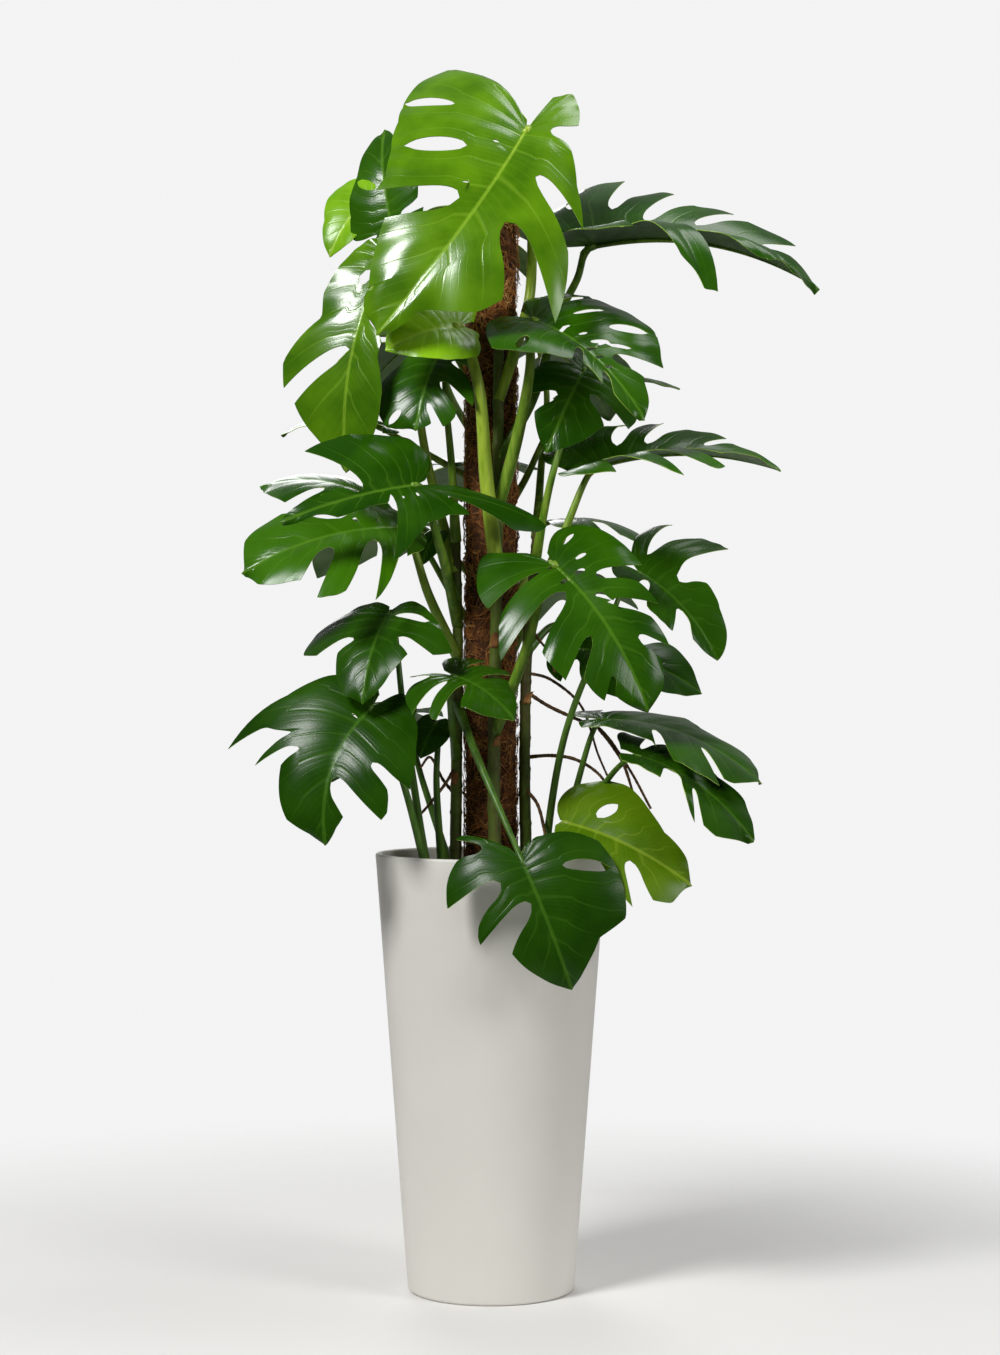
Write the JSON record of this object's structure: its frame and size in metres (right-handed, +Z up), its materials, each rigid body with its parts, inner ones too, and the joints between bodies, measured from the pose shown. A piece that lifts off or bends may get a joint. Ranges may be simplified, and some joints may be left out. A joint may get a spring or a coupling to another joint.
{
  "type": "potted swiss cheese plant",
  "caption": "Large-leaved climbing house plant with split and pierced leaves on a coir pole, standing in a tall plain round planter filled with potting soil.",
  "frame": {"origin": "centre of the planter's flat underside, on the floor it stands on", "axes": "+Z up along the pole, -Y towards the front of the plant, +X to its right seen from the front"},
  "size_m": [0.7572, 0.5011, 1.5865],
  "materials": {
    "leaf_young": "gloss",
    "leaf_mid": "gloss",
    "leaf_old": "satin",
    "leaf_yellowing": "satin",
    "stem": "satin",
    "aerial_root": "matte",
    "coir": "matte",
    "potting_soil": "matte",
    "planter": "satin"
  },
  "bodies": {
    "root": {"planter": "planter", "soil": "potting_soil", "coir_pole": "coir", "stem_front": "stem", "stem_left": "stem", "stem_right": "stem", "stem_back": "stem", "leaf_crown": "leaf_young", "leaf_upper_left": "leaf_mid", "leaf_upper_left_pale": "leaf_young", "leaf_hanging_left": "leaf_young", "leaf_lime": "leaf_young", "leaf_inner_left": "leaf_mid", "leaf_high_right": "leaf_mid", "leaf_fenestrated": "leaf_mid", "leaf_behind_fenestrated": "leaf_mid", "leaf_under_fenestrated": "leaf_mid", "leaf_mid_right": "leaf_mid", "leaf_edge_right": "leaf_mid", "leaf_big_front_right": "leaf_mid", "leaf_right": "leaf_old", "leaf_low_right_upper": "leaf_old", "leaf_low_right_lower": "leaf_old", "leaf_yellowing": "leaf_yellowing", "leaf_front_low": "leaf_old", "leaf_low_left": "leaf_old", "leaf_mid_low_left": "leaf_old", "leaf_small_centre": "leaf_old", "leaf_small_dark": "leaf_old", "leaf_star": "leaf_mid", "leaf_mid_left": "leaf_mid", "leaf_far_left": "leaf_mid", "leaf_small_grey": "leaf_mid", "leaf_back_centre": "leaf_mid", "leaf_back_left_tip": "leaf_mid", "leaf_behind_front_right": "leaf_old", "leaf_back_high": "leaf_young", "leaf_back_left_high": "leaf_mid", "leaf_back_right_high": "leaf_mid", "leaf_back_left_mid": "leaf_mid", "leaf_back_right_mid": "leaf_mid", "leaf_back_left_low": "leaf_old", "aerial_root_right_long": "aerial_root", "aerial_root_right_inner": "aerial_root", "aerial_root_right_low": "aerial_root", "aerial_root_right_upper": "aerial_root", "aerial_root_right_foot": "aerial_root", "aerial_root_left_low": "aerial_root", "aerial_root_left_cross": "aerial_root"}
  },
  "joints": []
}
